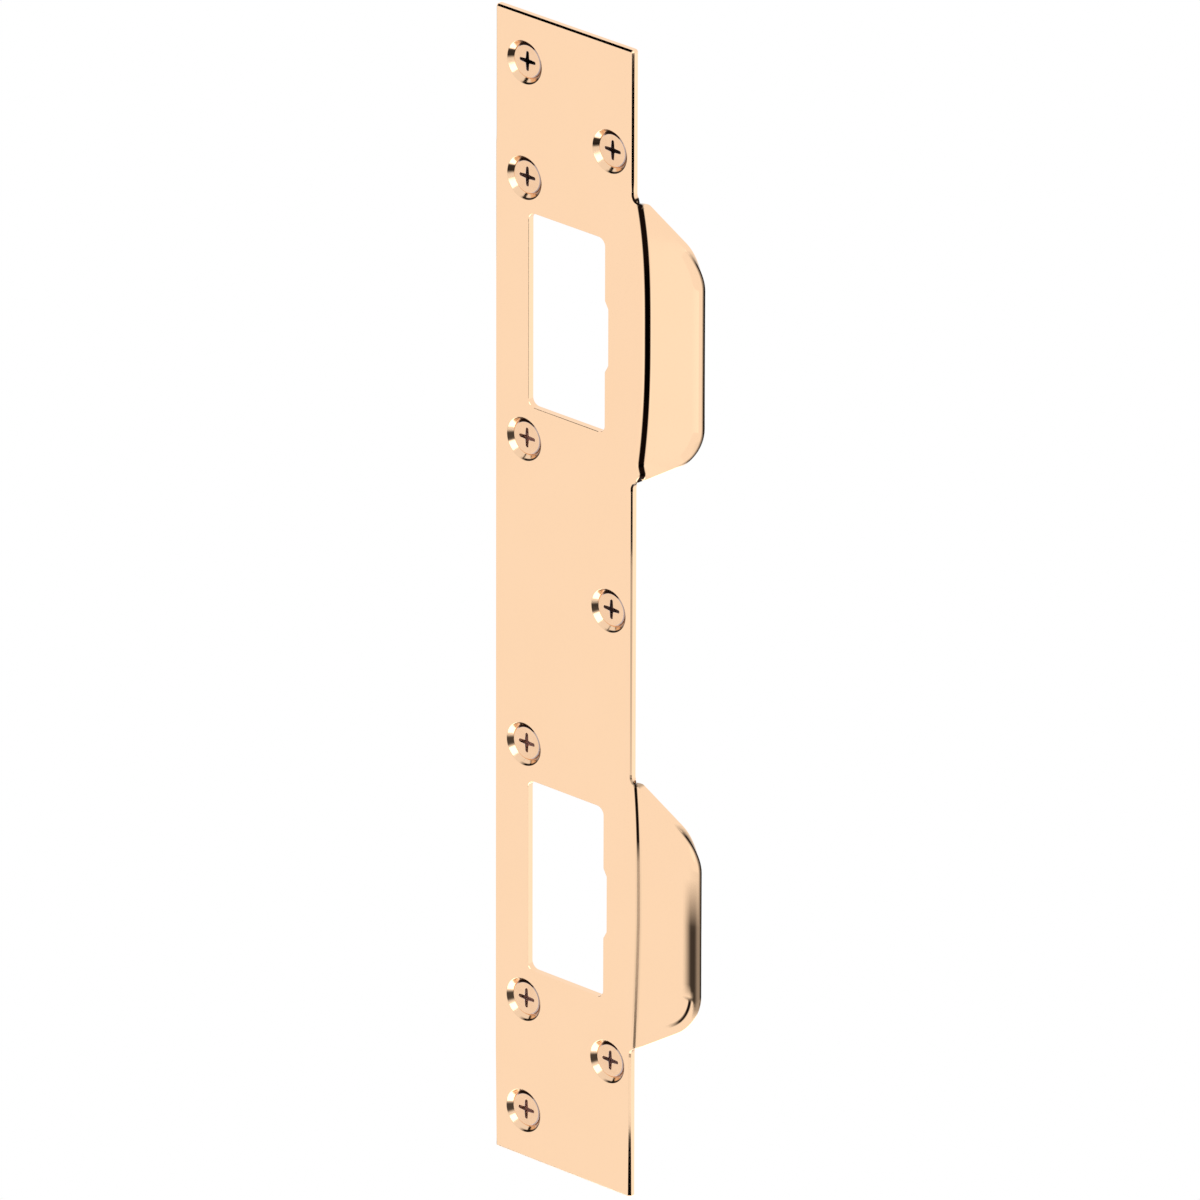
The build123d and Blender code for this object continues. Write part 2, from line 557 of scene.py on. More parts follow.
@dataclass(frozen=True)
class SeatPaintedReflections:
    """Painted dark reflections and shade on a seat's show side. Rings count from the face down its
    section.

    Angles are in degrees, from the lips' side upwards.
    """

    cone_level: float = 0.1
    cone_from: int = 2
    rim_span: Span = (-48.0, 38.0, 22.0)
    rim_rings: tuple[int, int] = (3, 9)
    patch_half: float = 10.0
    patch_soft: float = 8.0
    patch_from: int = 5
    top_z: float = 90.0
    top_patch: Pair = (168.0, 0.97)
    other_patch: Pair = (188.0, 0.93)

    def level(self, ring: int, angle: float, z: float) -> float:
        """How dark the painted reflection and shade are at a point of a seat.

        Args:
            ring: the ring that the point is on.
            angle: its angle in radians.
            z: the seat's height on the plate.

        Returns:
            A level from 0 to 1.
        """
        level = self.cone_level if ring >= self.cone_from else 0.0
        if self.rim_rings[0] <= ring <= self.rim_rings[1]:
            level = max(level, window(angle, *self.rim_span))
        if ring >= self.patch_from:
            middle, dark = self.top_patch if z > self.top_z else self.other_patch
            level = max(level, dark * window(angle, middle, self.patch_half, self.patch_soft))
        return level


@dataclass(frozen=True)
class Seat:
    """Countersunk seat, pressed out of the back of the sheet. Sizes in mm, angles in degrees."""

    cone_angle: float = 82.0
    rim_d: float = 10.3
    rim_roll: float = 0.28
    rim_steps: int = 8
    shadow_d: Pair = (9.8, 9.5)
    hole_d: float = 4.4
    wall: float = 1.1
    root_r: float = 0.7
    root_steps: int = 6
    head_d: float = 8.1
    steps: int = 96
    painted_reflections: SeatPaintedReflections = SeatPaintedReflections()

    @property
    def half(self) -> float:
        """Half of the cone's angle, in radians."""
        return math.radians(self.cone_angle / 2)

    def depth_at(self, diameter: float) -> float:
        """Depth below the show face at which the cone has a diameter."""
        return (self.rim_d - diameter) / 2 / math.tan(self.half)

    def section(self, thickness: float) -> list[list[SectionPoint]]:
        """Section from the show face, through the hole, to the back.

        Args:
            thickness: the sheet's thickness.

        Returns:
            Its three smooth runs: the rolled rim with the cone, the edge of the hole, the back.
        """
        slope = self.half
        turn = math.pi / 2 - slope
        reach = self.rim_roll * math.tan(turn / 2)
        cone = []
        for i in range(self.rim_steps + 1):
            a = turn * i / self.rim_steps
            cone.append((self.rim_d / 2 + reach - self.rim_roll * math.sin(a),
                         self.rim_roll * (1 - math.cos(a)), -math.sin(a), -math.cos(a)))
        cone += [(diameter / 2, self.depth_at(diameter), -math.cos(slope), -math.sin(slope))
                 for diameter in (*self.shadow_d, self.hole_d)]
        bottom = self.depth_at(self.hole_d)
        back_r = self.rim_d / 2 - thickness * math.tan(slope) + self.wall / math.cos(slope)
        end_r = self.hole_d / 2 + self.wall / math.cos(slope)
        edge = [(self.hole_d / 2, bottom, 0.0, 1.0), (end_r, bottom, 0.0, 1.0)]
        out = [(end_r, bottom, math.cos(slope), math.sin(slope))]
        fillet = self.root_r * math.tan(turn / 2)
        for i in range(self.root_steps + 1):
            a = turn * (1 - i / self.root_steps)
            out.append((back_r + fillet - self.root_r * math.sin(a),
                        thickness + self.root_r * (1 - math.cos(a)), math.sin(a), math.cos(a)))
        return [cone, edge, out]

    def build(self, shell: Shell, centre: Point2, thickness: float) -> list[list[Point2]]:
        """Adds one seat.

        Args:
            shell: the mesh to add to.
            centre: the seat's place on the plate.
            thickness: the sheet's thickness.

        Returns:
            The circles that the show face and the back must leave open for it.
        """
        x, z = centre
        cone, edge, out = self.section(thickness)
        # the cone carries painted dark reflections and shade
        for run in (cone, edge, out):
            shell.turned(run, (x, -thickness, z), self.steps,
                         lambda ring, a: self.painted_reflections.level(ring, a, z) if run is cone else 0.0)
        return [[(x + r * c, z + r * s) for _, c, s in circle(self.steps)]
                for r in (cone[0][0], out[-1][0])]


@dataclass(frozen=True)
class CurlShade:
    """Dark reflection painted into a lip's curl. Levels and shares from 0 to 1, rest in mm.

    Insets are measured inwards from the tip's edge, and turns are shares of a corner's turn.
    """

    dark: float = 0.95
    top: float = 14.0
    top_fade: float = 12.0
    inset: float = 4.1
    inset_fade: float = 2.0
    pale: float = 0.35
    pale_inset: float = 1.1
    pale_fade: float = 0.5
    # close to the lower corner the shade narrows
    foot_inset: float = 2.2
    foot_fade: float = 0.8
    foot_rise: float = 2.5
    # it ends in a tooth in the corner, with a streak beside it
    tooth_turn: float = 0.12
    tooth_more: float = 0.4
    tooth_inset: float = 1.5
    tooth_fade: float = 0.8
    tooth_edge: float = 2.0
    streak_inset: float = 2.2
    streak_half: float = 0.4
    streak_fade: float = 0.15
    streak_start: float = 0.1
    streak_end: float = 1.2
    streak_end_fade: float = 0.4

    def level(self, past: float, above: float) -> float:
        """The shade's level before it meets a corner.

        Args:
            past: distance past the tip's edge, negative on the lip.
            above: height above the lip's middle.

        Returns:
            The level.
        """
        pale = 1 - self.pale * rising(past, -self.pale_inset, self.pale_fade)
        high = falling(above, self.top, self.top_fade) * self.dark
        return rising(past, -self.inset, self.inset_fade) * pale * high

    def beside_tip(self, past: float, above: float, up: float) -> float:
        """The level along the tip's straight part, narrower close to its foot.

        Args:
            past: distance past the tip's edge.
            above: height above the lip's middle.
            up: distance past the end of the straight part, negative on it.

        Returns:
            The level.
        """
        near = rising(past, -self.foot_inset, self.foot_fade) - up / self.foot_rise
        return self.level(past, above) * clamped(near)

    def in_corner(self, past: float, above: float, share: float) -> float:
        """The level in the tip's lower corner, a tooth of the shade with a streak beside it.

        Args:
            past: distance past the corner's edge.
            above: height above the lip's middle.
            share: the share of the corner's turn.

        Returns:
            The level.
        """
        tooth = self.tooth_turn + self.tooth_more * rising(past, -self.tooth_inset,
                                                           self.tooth_fade)
        streak = falling(abs(past + self.streak_inset), self.streak_half, self.streak_fade)
        ends = min(rising(share, 0.0, self.streak_start),
                   falling(share, self.streak_end, self.streak_end_fade))
        return max(self.level(past, above) * clamped(self.tooth_edge * (1 - share / tooth)),
                   streak * ends)


@dataclass(frozen=True)
class LipPaintedReflections:
    """Dark reflections painted on a lip. Levels and shares from 0 to 1, rest in mm.

    The crease's level changes from crease_foot to crease_top from a share of the root up.
    """

    # the painted dark line in the crease, which widens at the root's ends
    crease_top: float = 1.0
    crease_foot: float = 1.0
    crease_change: float = 0.4
    crease_change_over: float = 0.15
    crease_soft: float = 0.18
    crease_fade: float = 0.7
    end_widening: float = 0.35
    end_lead: float = 0.6
    end_over: float = 0.4
    # the painted dark line along the tip's edge, and how far it goes round each corner
    edge_width: float = 0.45
    edge_fade: float = 0.2
    upper_corner: float = 0.85
    lower_corner: float = 1.1
    corner_fade: float = 0.3
    # the painted dark line round the outline's edge beside each end of the root
    lower_root: float = 1.0
    upper_root: float = 1.0
    root_lead: float = 2.5
    root_out: float = 2.2
    root_fade: float = 0.5
    root_start: float = 0.2
    root_rise: float = 0.2
    root_in: float = 0.01
    # the painted dark reflection in the curl
    shade: CurlShade | None = None


@dataclass(frozen=True)
class LipBend:
    """How a lip is bent, as a section that reaches from the plate's edge to the tip.

    Sizes in mm, angles in degrees, the kink's place and width as shares of the root's half.
    """

    middle: float = 70.7
    root_half: float = 35.0
    root_r: float = 1.5
    reach: float = 18.6
    taper: float = 32.0
    corner_r: float = 12.0
    crease_out: float = 3.1
    crease_r: float = 0.8
    crease_wall: float = 1.0
    crease_inner_r: float = 0.8
    crease_angle: float = 50.0
    angle: float = 4.0
    curl_r: float = 3.6
    curl_angle: float = 55.0
    # how the crease bows from one end of the root to the other
    upper_fullness: float = 3.3
    lower_fullness: float = 2.3
    kink: float = 0.9
    kink_at: float = 0.87
    kink_width: float = 0.04
    run_out: float = 0.07
    # the mesh
    steepest: float = 0.02
    slope_step: float = 0.004
    rows: int = 76
    bend_steps: int = 8
    lead_in: float = 0.35
    curl_gap: float = 0.6
    # painted dark reflections on the lip
    painted_reflections: LipPaintedReflections = LipPaintedReflections()

    @property
    def root_end(self) -> float:
        """Half of the root's length, with the rounds at its ends."""
        return self.root_half + self.root_r

    @property
    def tip_half(self) -> float:
        """Half of the tip's length, to the sharp corners before they are rounded."""
        return self.root_half - self.reach * math.tan(math.radians(self.taper))

    @property
    def corner_turn(self) -> float:
        """How far the outline turns at each corner of the tip, in radians."""
        return math.pi / 2 - math.radians(self.taper)

    def start(self, z: float) -> float:
        """Where the crease starts.

        Args:
            z: height.

        Returns:
            Its distance past the plate's edge.
        """
        share = min(1.0, abs(z - self.middle) / self.root_end)
        if z > self.middle:
            return self.crease_out * (1 - share ** self.upper_fullness)
        kink = self.kink * math.exp(-((share - self.kink_at) / self.kink_width) ** 2)
        bow = self.crease_out * (1 - share ** self.lower_fullness) + kink
        return bow * falling(share, 1.0, self.run_out)

    def bends(self) -> tuple[float, float, float, float]:
        """Measures the section's bends across the plate.

        Returns:
            Widths of the first bend, with the wall, with the second bend, and of the curl.
        """
        top, run = math.radians(self.crease_angle), math.radians(self.angle)
        first = self.crease_r * math.sin(top)
        wall = first + self.crease_wall * math.cos(top)
        second = wall + self.crease_inner_r * (math.sin(top) - math.sin(run))
        curl = self.curl_r * (math.sin(math.radians(self.curl_angle)) - math.sin(run))
        return first, wall, second, curl

    def crease_depth(self, s: float) -> float:
        """Depth of the lip's show side behind the plate's, without the curl.

        Args:
            s: distance past the crease's start.

        Returns:
            The depth.
        """
        first, wall, second, _ = self.bends()
        top, run = math.radians(self.crease_angle), math.radians(self.angle)
        if s <= 0:
            return 0.0
        if s <= first:
            return self.crease_r - math.sqrt(self.crease_r ** 2 - s ** 2)
        depth = self.crease_r * (1 - math.cos(top))
        if s <= wall:
            return depth + (s - first) * math.tan(top)
        depth += self.crease_wall * math.sin(top)
        if s <= second:
            turn = math.asin(math.sin(top) - (s - wall) / self.crease_inner_r)
            return depth + self.crease_inner_r * (math.cos(turn) - math.cos(top))
        depth += self.crease_inner_r * (math.cos(run) - math.cos(top))
        return depth + (s - second) * math.tan(run)

    def about_corner(self, x: float, z: float) -> tuple[float, float, float, float]:
        """Places a point about the centre of the nearer of the tip's two corners.

        Args:
            x: distance past the plate's edge.
            z: height.

        Returns:
            How far out and up it is from that centre, how far it is past the lip's edge, and the
            share of the corner's turn. The last two are measured straight out where up isn't
            positive.
        """
        out = x - (self.reach - self.corner_r)
        centre_up = self.tip_half - self.corner_r * math.tan(self.corner_turn / 2)
        up = abs(z - self.middle) - centre_up
        if up <= 0:
            return out, up, out - self.corner_r, 0.0
        return out, up, math.hypot(out, up) - self.corner_r, math.atan2(up, out) / self.corner_turn

    def curl_depth(self, x: float, z: float) -> float:
        """How far the curled tip falls behind the lip's straight run.

        It runs along the tip and round its two corners, and fades out towards the slanting sides.

        Args:
            x: distance past the plate's edge.
            z: height.

        Returns:
            The depth.
        """
        _, _, past_edge, share = self.about_corner(x, z)
        past = past_edge + self.bends()[3]
        if past <= 0 or share >= 1:
            return 0.0
        run, tip = math.radians(self.angle), math.radians(self.curl_angle)
        bend = math.asin(min(math.sin(tip) + self.steepest, math.sin(run) + past / self.curl_r))
        fall = self.curl_r * (math.cos(run) - math.cos(bend)) - past * math.tan(run)
        return fall * (1 - share * share * (3 - 2 * share))

    def depth(self, x: float, z: float) -> float:
        """Depth of the show side behind the plate's, a distance past its edge, at a height."""
        return self.crease_depth(x - self.start(z)) + self.curl_depth(x, z)

    def slopes(self, x: float, z: float) -> tuple[float, float]:
        """How fast the depth grows across and up the plate at a point."""
        step = self.slope_step
        return ((self.depth(x + step, z) - self.depth(x - step, z)) / (2 * step),
                (self.depth(x, z + step) - self.depth(x, z - step)) / (2 * step))

    def painted_reflection(self, x: float, z: float) -> float:
        """How dark the painted reflection on the show side is at a point, from 0 to 1."""
        return max(self.painted_crease_reflection(x, z), self.painted_tip_reflection(x, z))

    def painted_crease_reflection(self, x: float, z: float) -> float:
        """The painted dark reflection along the crease's wall.

        Args:
            x: distance past the plate's edge.
            z: height.

        Returns:
            A level from 0 to 1.
        """
        painted_reflections, above = self.painted_reflections, z - self.middle
        if abs(above) > self.root_end:
            return 0.0
        first, wall, _, _ = self.bends()
        off = abs(x - self.start(z) - (first + wall) / 2) - (wall - first) / 2
        off -= painted_reflections.end_widening * rising(abs(above), self.root_half - painted_reflections.end_lead, painted_reflections.end_over)
        level = painted_reflections.crease_foot + (painted_reflections.crease_top - painted_reflections.crease_foot) * rising(
            above / self.root_end, painted_reflections.crease_change, painted_reflections.crease_change_over)
        return level * falling(off, painted_reflections.crease_soft, painted_reflections.crease_fade * painted_reflections.crease_soft)

    def painted_tip_reflection(self, x: float, z: float) -> float:
        """The painted dark reflection in the tip's curl and corners.

        Args:
            x: distance past the plate's edge.
            z: height.

        Returns:
            A level from 0 to 1.
        """
        out, up, past, share = self.about_corner(x, z)
        if out < 0:
            return 0.0
        painted_reflections, above = self.painted_reflections, z - self.middle
        line = rising(past, -painted_reflections.edge_width, painted_reflections.edge_fade)
        if up <= 0:
            return max(line, painted_reflections.shade.beside_tip(past, above, up)) if painted_reflections.shade else line
        if painted_reflections.shade and above < 0:
            return painted_reflections.shade.in_corner(past, above, share)
        end = painted_reflections.upper_corner if above > 0 else painted_reflections.lower_corner
        return line * falling(share, end, painted_reflections.corner_fade)

    def painted_root_reflection(self, x: float, z: float, on_break: bool) -> float:
        """The painted dark reflection on the outline's edge beside an end of the root.

        Args:
            x: distance past the plate's edge.
            z: height.
            on_break: whether the point is on the broken edge rather than on the face or wall.

        Returns:
            A level from 0 to 1.
        """
        painted_reflections, height = self.painted_reflections, abs(z - self.middle)
        if x < -painted_reflections.root_in or not self.root_half - painted_reflections.root_lead <= height <= self.root_end:
            return 0.0
        level = painted_reflections.upper_root if z > self.middle else painted_reflections.lower_root
        level *= falling(x, painted_reflections.root_out, painted_reflections.root_fade)
        return level if on_break else level * rising(x, painted_reflections.root_start, painted_reflections.root_rise)

    def heights(self) -> list[float]:
        """Heights of the mesh's rows, closer together towards the root's ends."""
        return [self.middle + self.root_end * math.sin(math.pi / 2 * (2 * j / self.rows - 1))
                for j in range(self.rows + 1)]

    def columns(self) -> list[list[Point2]]:
        """Draws lines along the crease for the mesh to follow.

        Returns:
            Lines of points, one for each step of the bends.
        """
        first, wall, second, curl = self.bends()
        top, run = math.radians(self.crease_angle), math.radians(self.angle)
        count = self.bend_steps
        flat = self.reach - curl - self.crease_out - self.curl_gap
        steps = [-self.lead_in, 0.0]
        steps += [self.crease_r * math.sin(top * i / count) for i in range(1, count + 1)]
        steps += [first + (wall - first) / 2]
        steps += [wall + self.crease_inner_r
                  * (math.sin(top) - math.sin(top + (run - top) * i / count))
                  for i in range(count + 1)]
        steps += [second + (flat - second) * i / 3 for i in (1, 2)]
        return [[(self.start(z) + s, z) for z in self.heights()] for s in steps]


@dataclass
class StrikePlate:
    """The stamped plate with its openings, pressed seats and two lips.

    Sizes in mm, angles in degrees. The buffed edge is wider towards the top and the foot.
    """

    height: float = 282.6
    width: float = 41.3
    thickness: float = 1.6
    corner_r: float = 0.6
    # buffed edge
    edge_break: float = 0.34
    top_break: float = 0.46
    top_break_z: float = 107.7
    top_break_over: float = 2.0
    foot_break: float = 0.6
    foot_break_z: float = -116.0
    foot_break_over: float = 24.0
    lip_break: float = 0.15
    lip_break_out: float = 1.4
    lip_break_over: float = 1.4
    break_angle: float = 50.0
    break_round: float = 0.35
    break_steps: tuple[int, int] = (5, 4)
    break_seen: Pair = (25.0, 85.0)
    # seats
    pattern_x: float = 0.92
    column_gap: float = 25.6
    left_seats: tuple[float, ...] = (129.5, 101.5, 37.7, -37.7, -101.5, -129.5)
    right_seats: tuple[float, ...] = (115.2, 3.1, -109.0)
    # bolt openings, with a relief in the side next to the lip
    opening_z: float = 69.85
    opening_width: float = 22.9
    opening_height: float = 47.4
    opening_corner_r: float = 1.9
    opening_break: float = 0.1
    relief_length: float = 17.4
    relief_depth: float = 1.0
    relief_slope: float = 1.8
    relief_r: float = 0.6
    # the mesh
    rim_turn: float = 4.0
    rim_run: float = 1.5
    root_run: float = 0.2
    root_run_in: float = 0.05
    root_run_out: float = 4.95
    root_run_up: float = 2.0
    mouth_turn: float = 8.0
    mouth_run: float = 4.0
    line_gap: float = 0.12
    curl_from: float = 3.5
    curl_steps: int = 11
    curl_ends: Pair = (0.2, 0.1)
    curl_insets: tuple[float, ...] = (3.2, 3.7, 4.3)
    # what it is made up of
    seat: Seat = Seat()
    upper_lip: LipBend = LipBend()
    # the lower lip has a lighter painted line in its crease and a painted dark reflection in its
    # curl
    lower_lip: LipBend = LipBend(
        middle=-70.7, root_half=33.7, crease_out=1.3, crease_wall=0.45, upper_fullness=3.0,
        lower_fullness=1.3, kink=0.0,
        painted_reflections=LipPaintedReflections(crease_foot=0.4, crease_soft=0.12, upper_corner=1.1, lower_root=0.35,
                     upper_root=0.5, shade=CurlShade()))

    @property
    def edge_x(self) -> float:
        """Half of the plate's width."""
        return self.width / 2

    @property
    def seat_places(self) -> list[Point2]:
        """The seats' centres, from the top down, the left column first."""
        left, right = self.pattern_x - self.column_gap / 2, self.pattern_x + self.column_gap / 2
        return [(left, z) for z in self.left_seats] + [(right, z) for z in self.right_seats]

    def lip_at(self, z: float) -> LipBend:
        """The lip in the same half of the plate as a height."""
        return self.upper_lip if z > 0 else self.lower_lip

    def at(self, x: float, z: float, depth: float = 0.0) -> tuple[Vector, Vector]:
        """A point of the bent sheet.

        Args:
            x: its place across, measured on the show side.
            z: its height.
            depth: how far below the show side it is.

        Returns:
            The point, and the unit normal of the show side there.
        """
        past = x - self.edge_x
        if past <= 0:
            return Vector((x, depth - self.thickness, z)), FRONT
        lip = self.lip_at(z)
        across, up = lip.slopes(past, z)
        normal = Vector((across, -1.0, up)).normalized()
        return Vector((x, lip.depth(past, z) - self.thickness, z)) - normal * depth, normal

    def painted_reflection(self, x: float, z: float) -> float:
        """How dark the painted reflection on the show side is at a point, from 0 to 1."""
        return self.lip_at(z).painted_reflection(x - self.edge_x, z)

    def on_show_side(self, point: Point2) -> tuple[Vector, Vector, float]:
        """Place, normal and painted darkness of a point of the show side."""
        return *self.at(*point), self.painted_reflection(*point)

    def on_back(self, point: Point2) -> tuple[Vector, Vector, float]:
        """Place, normal and painted darkness of a point of the back."""
        place, normal = self.at(*point, self.thickness)
        return place, -normal, 0.0

    def painted_edge_reflection(self, x: float, z: float, turn: float) -> float:
        """How dark the painted reflection on the broken edge is at a point of the rim, from 0 to 1.

        Args:
            x: the point's place across.
            z: its height.
            turn: the turn of the normal there from the show side, in radians.

        Returns:
            The level.
        """
        on_break = self.break_seen[0] <= math.degrees(turn) <= self.break_seen[1]
        return self.lip_at(z).painted_root_reflection(x - self.edge_x, z, on_break)

    def rim(self) -> list[Point2]:
        """Draws the outer outline on the show side, lips included.

        Returns:
            The outline, anticlockwise.
        """
        x = self.edge_x
        half_z = self.height / 2
        corners: list[Point2] = [(-x, -half_z), (x, -half_z)]
        radii = [self.corner_r, self.corner_r]
        for lip in (self.lower_lip, self.upper_lip):
            middle, tip = lip.middle, x + lip.reach
            corners += [(x, middle - lip.root_half), (tip, middle - lip.tip_half),
                        (tip, middle + lip.tip_half), (x, middle + lip.root_half)]
            radii += [lip.root_r, lip.corner_r, lip.corner_r, lip.root_r]
        corners += [(x, half_z), (-x, half_z)]
        radii += [self.corner_r, self.corner_r]
        coarse = divided(rounded(corners, radii, self.rim_turn), lambda _: self.rim_run)
        return divided(coarse, self.longest_run)

    def longest_run(self, point: Point2) -> float:
        """Longest run of the outer outline, short beside the lips' roots.

        Args:
            point: the point where the run starts.

        Returns:
            The length.
        """
        past, lip = point[0] - self.edge_x, self.lip_at(point[1])
        off = abs(abs(point[1] - lip.middle) - lip.root_half)
        near = (-self.root_run_in < past < self.root_run_out
                and off < lip.root_r + self.root_run_up)
        return self.root_run if near else self.rim_run

    def mouths(self) -> list[list[Point2]]:
        """Draws the two bolt openings on the show side.

        Returns:
            Their outlines, anticlockwise.
        """
        made = []
        for middle in (self.opening_z, -self.opening_z):
            left = self.pattern_x - self.opening_width / 2
            right = self.pattern_x + self.opening_width / 2
            low, high = middle - self.opening_height / 2, middle + self.opening_height / 2
            half, slope = self.relief_length / 2, self.relief_slope
            deep = right + self.relief_depth
            corners = [(left, low), (right, low), (right, middle - half),
                       (deep, middle - half + slope), (deep, middle + half - slope),
                       (right, middle + half), (right, high), (left, high)]
            r, small = self.opening_corner_r, self.relief_r
            outline = rounded(corners, [r, r, small, small, small, small, r, r], self.mouth_turn)
            made.append(divided(outline, lambda _: self.mouth_run))
        return made

    def broken_edge(self) -> list[tuple[float, float, float]]:
        """Section of the buffed edge, a flat with two small rounds, for a width of 1.

        Returns:
            Inset, depth and turn of the normal in radians, from the show face to the wall.
        """
        slope = math.radians(self.break_angle)
        rest = math.pi / 2 - slope
        r = self.break_round
        lead, tail = r * math.tan(slope / 2), r * math.tan(rest / 2)
        upper, lower = self.break_steps
        turns = [slope * k / upper for k in range(upper + 1)]
        made = [(1 + lead - r * math.sin(a), r * (1 - math.cos(a)), a) for a in turns]
        turns = [slope + rest * k / lower for k in range(lower + 1)]
        return made + [(r * (1 - math.sin(a)), math.tan(slope) + tail - r * math.cos(a), a)
                       for a in turns]

    def rings(self, shell: Shell, outline: Sequence[Point2], width: Callable[[Point2], float],
              side: Outline) -> list[Point2]:
        """Builds the broken edge and the wall along an outline.

        Args:
            shell: the mesh to add to.
            outline: the outline on the show side.
            width: how far the buffed edge reaches in from a point of the outline.
            side: which way the wall looks.

        Returns:
            The line where the face meets the broken edge.
        """
        spots = [self.at(x, z) for x, z in outline]
        outward = []
        for i, (_, normal) in enumerate(spots):
            along = spots[(i + 1) % len(spots)][0] - spots[i - 1][0]
            outward.append(along.cross(normal).normalized() * side.value)
        rows, lines = [], []
        for inset, depth, a in self.broken_edge():
            row, line = [], []
            for (x, z), out in zip(outline, outward):
                r = width((x, z))
                px, pz = x - out.x * inset * r, z - out.z * inset * r
                point, normal = self.at(px, pz, depth * r)
                line.append((px, pz))
                # each vertex gets the painted dark reflection of the face and of the broken edge
                row.append(shell.add(point, normal * math.cos(a) + out * math.sin(a),
                                     max(self.painted_reflection(px, pz), self.painted_edge_reflection(x, z, a))))
            rows.append(row)
            lines.append(line)
        rows.append([shell.add(self.at(x, z, self.thickness)[0], out,
                               self.painted_edge_reflection(x, z, math.pi / 2))
                     for (x, z), out in zip(outline, outward)])
        shell.skin(rows)
        return lines[0]

    def curl_lines(self, lip: LipBend, outer: Sequence[Point2]) -> list[list[Point2]]:
        """Draws lines along a lip's curled tip for the mesh to follow.

        Args:
            lip: the lip.
            outer: the outline that they follow.

        Returns:
            The lines, from the outermost inwards.
        """
        near = [p for p in outer if p[0] > self.edge_x + lip.crease_out + self.curl_from
                and abs(p[1] - lip.middle) < lip.root_half]
        near.sort(key=lambda p: p[1])
        first, overlap = self.curl_ends
        step = (lip.bends()[3] - overlap) / self.curl_steps
        made = []
        for inset in [*(first + step * k for k in range(self.curl_steps + 1)), *self.curl_insets]:
            line = []
            for before, here, after in zip(near, near[1:], near[2:]):
                along = (Vector(after) - Vector(before)).normalized()
                line.append((here[0] - along.y * inset, here[1] + along.x * inset))
            made.append(line)
        return made

    def lip_runs(self, outer: Sequence[Point2]) -> list[list[Point2]]:
        """Cuts the lines along the lips' bends to the parts that lie on the sheet.

        Args:
            outer: the sheet's outline.

        Returns:
            The parts.
        """
        runs = []
        for lip in (self.upper_lip, self.lower_lip):
            lines = [[(self.edge_x + x, z) for x, z in line] for line in lip.columns()]
            for line in lines + self.curl_lines(lip, outer):
                parts = groupby(line, lambda point: inside(point, outer)
                                and clear_of(point, outer, self.line_gap))
                runs += [list(part) for kept, part in parts if kept]
        return runs

    def break_at(self, point: Point2) -> float:
        """Width of the buffed edge at a point of the outer outline.

        Args:
            point: the point.

        Returns:
            The width.
        """
        past = point[0] - self.edge_x
        side = self.edge_break
        side += (self.top_break - self.edge_break) * rising(
            point[1], self.top_break_z, self.top_break_over)
        side += (self.foot_break - self.edge_break) * falling(
            point[1], self.foot_break_z, self.foot_break_over)
        return side + (self.lip_break - side) * rising(
            past, self.lip_break_out, self.lip_break_over)

    def build(self, material: bpy.types.Material) -> bpy.types.Object:
        """Makes the plate as one mesh.

        Args:
            material: its finish.

        Returns:
            The plate.
        """
        shell = Shell()
        rim, mouths = self.rim(), self.mouths()
        show = [self.rings(shell, rim, self.break_at, Outline.RIM)]
        show += [self.rings(shell, mouth, lambda _: self.opening_break, Outline.MOUTH)
                 for mouth in mouths]
        back = [rim, *mouths]
        for place in self.seat_places:
            for side, mouth in zip((show, back), self.seat.build(shell, place, self.thickness)):
                side.append(mouth)
        shell.cover(show, self.lip_runs(show[0]), self.on_show_side)
        shell.cover(back, self.lip_runs(back[0]), self.on_back)
        piece = shell.build("strike_plate_sheet", material)
        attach(piece, "root")
        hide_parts("strike_plate")
        log.info("strike plate: %d faces", len(piece.data.polygons))
        return piece


